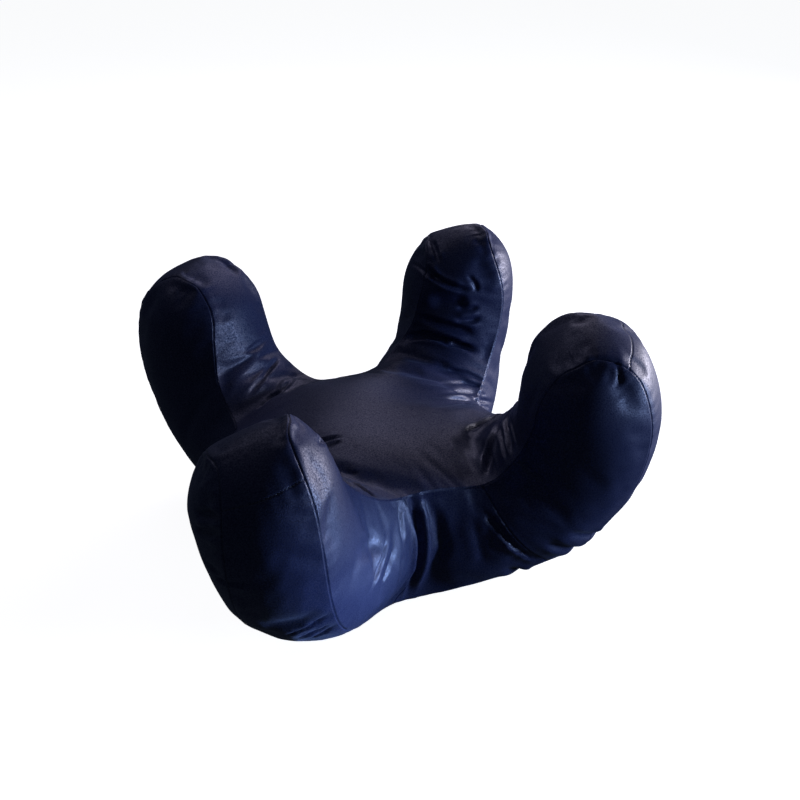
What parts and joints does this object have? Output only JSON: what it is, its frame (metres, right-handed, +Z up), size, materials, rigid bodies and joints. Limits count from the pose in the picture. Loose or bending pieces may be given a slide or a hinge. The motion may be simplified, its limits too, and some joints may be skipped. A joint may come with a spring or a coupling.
{
  "type": "four-armed cushion",
  "caption": "Stuffed satin floor cushion with a low square body whose corners run out into short thick arms that curl upwards, for leaning on, propping and decoration.",
  "frame": {"origin": "middle of the bounding box on the floor, under the body", "axes": "+Z up, -Y towards the front boxing panel, +X to the viewer's right"},
  "size_m": [0.4022, 0.4578, 0.2211],
  "materials": {
    "cover": "dark navy satin weave, soft broad highlights"
  },
  "bodies": {
    "root": {"cushion": "cover"}
  },
  "joints": []
}
